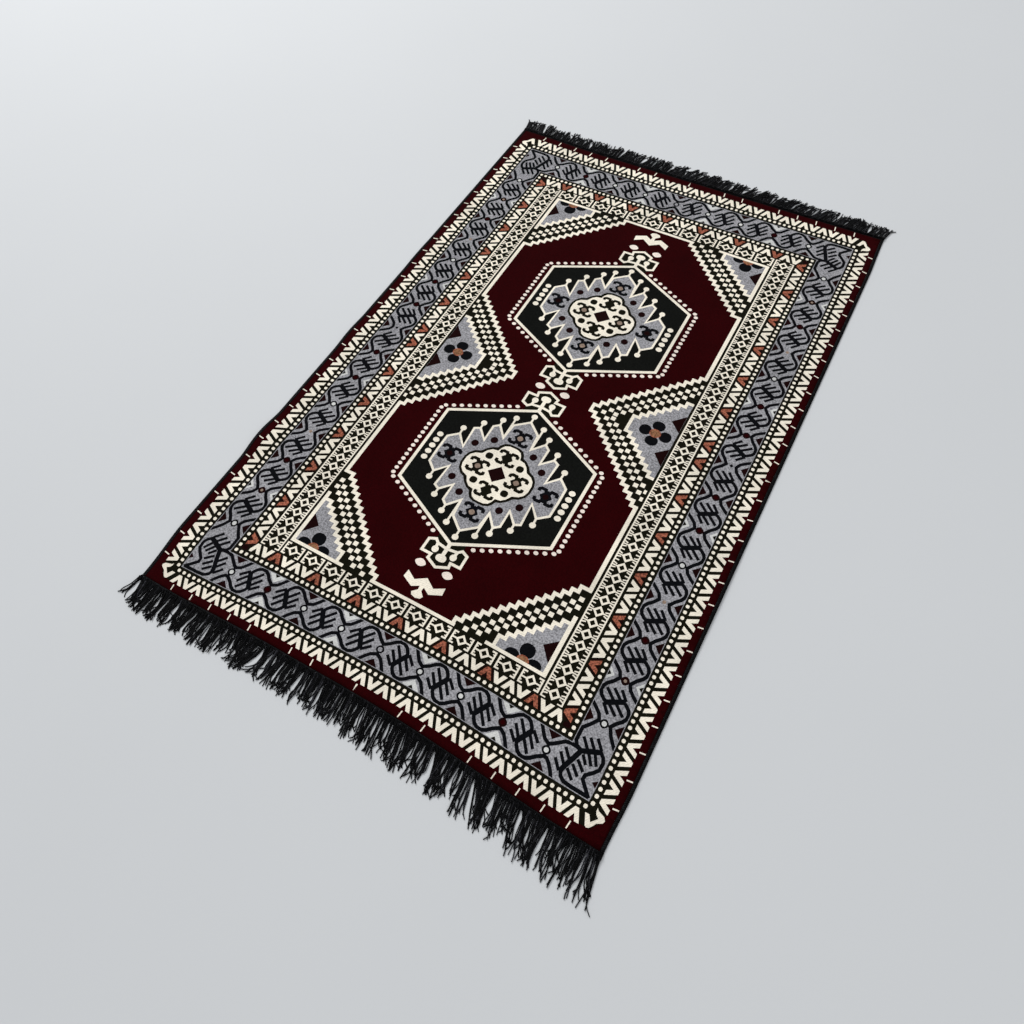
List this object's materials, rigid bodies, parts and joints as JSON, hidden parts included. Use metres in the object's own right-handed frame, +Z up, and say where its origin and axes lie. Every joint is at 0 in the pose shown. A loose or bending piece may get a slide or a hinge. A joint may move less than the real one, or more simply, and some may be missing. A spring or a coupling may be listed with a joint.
{
  "type": "washable kilim rug",
  "caption": "Flat woven kilim rug with hexagon medallions on burgundy, patterned grey borders, overcast long edges and a black yarn fringe at each end.",
  "frame": {"origin": "floor level, under the middle of the whole rug with its fringes", "axes": "+Y along the rug's length, +X across it, +Z up from the floor through the cloth"},
  "size_m": [1.2154, 1.9784, 0.0115],
  "materials": {
    "chenille_weave": "matte",
    "overcast_yarn": "matte",
    "fringe_yarn": "matte"
  },
  "bodies": {
    "root": {"rug_panel": "chenille_weave", "edge_binding_left": "overcast_yarn", "edge_binding_right": "overcast_yarn", "fringe_near": "fringe_yarn", "fringe_far": "fringe_yarn"}
  },
  "joints": []
}
